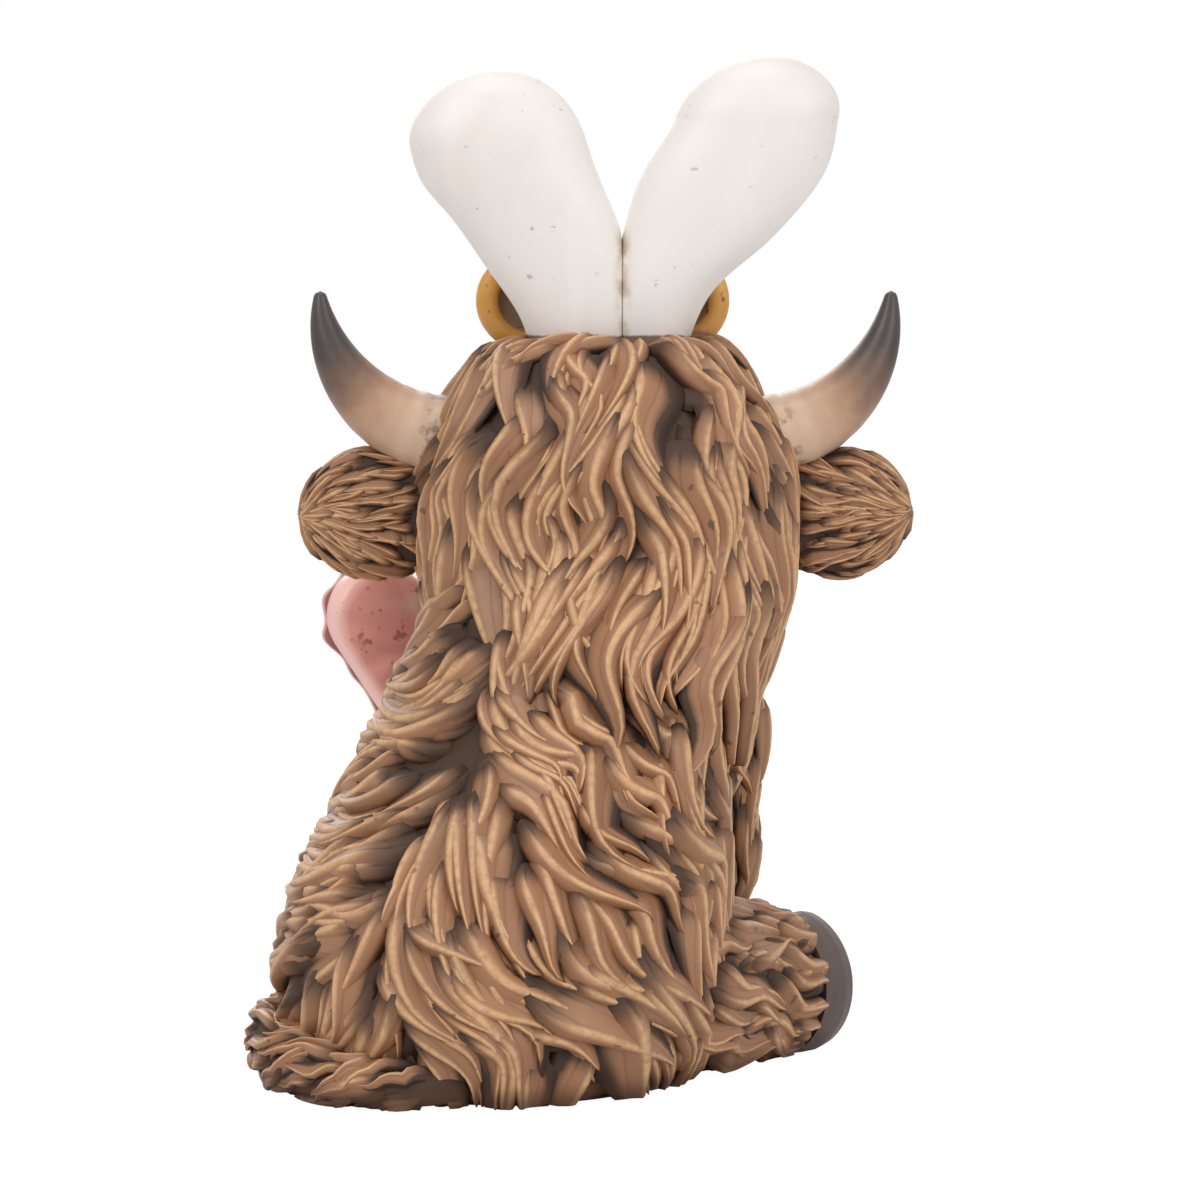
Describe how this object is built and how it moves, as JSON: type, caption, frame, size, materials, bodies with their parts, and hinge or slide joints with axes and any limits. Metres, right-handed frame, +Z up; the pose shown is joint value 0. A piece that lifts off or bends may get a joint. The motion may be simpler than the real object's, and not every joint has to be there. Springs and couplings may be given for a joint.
{
  "type": "animal figurine",
  "caption": "Seated shaggy highland calf with rabbit ears, a bow and a heart: a painted resin table ornament.",
  "frame": {"origin": "on the table plane, under the middle of the rump", "axes": "+Z up from the table; the display front faces -Y; +X is the calf's left"},
  "size_m": [0.0962, 0.0987, 0.1448],
  "materials": {
    "coat": "satin paint with a dark wash and light dry-brushing",
    "rabbit_white": "satin white paint",
    "horn": "satin paint shaded from cream to charcoal",
    "hoof": "satin dark brown paint",
    "heart_pink": "satin paint with a rust wash",
    "bow_yellow": "satin paint with a brown wash",
    "muzzle_pink": "satin paint",
    "eye_black": "gloss",
    "steel": "plain"
  },
  "bodies": {
    "root": {"torso": "coat", "head": "coat", "forelock": "coat", "left_ear": "coat", "right_ear": "coat", "left_foreleg": "coat", "right_foreleg": "coat", "left_hind_leg": "coat", "right_hind_leg": "coat", "tail": "coat", "left_rabbit_ear": "rabbit_white", "right_rabbit_ear": "rabbit_white", "left_horn": "horn", "right_horn": "horn", "left_fore_hoof": "hoof", "right_fore_hoof": "hoof", "left_hind_hoof": "hoof", "right_hind_hoof": "hoof", "heart": "heart_pink", "bow": "bow_yellow", "muzzle": "muzzle_pink", "left_eye": "eye_black", "right_eye": "eye_black", "neck_dowel": "steel", "horn_dowels": "steel", "rabbit_ear_dowels": "steel", "ear_dowels": "steel", "heart_dowel": "steel"}
  },
  "joints": []
}
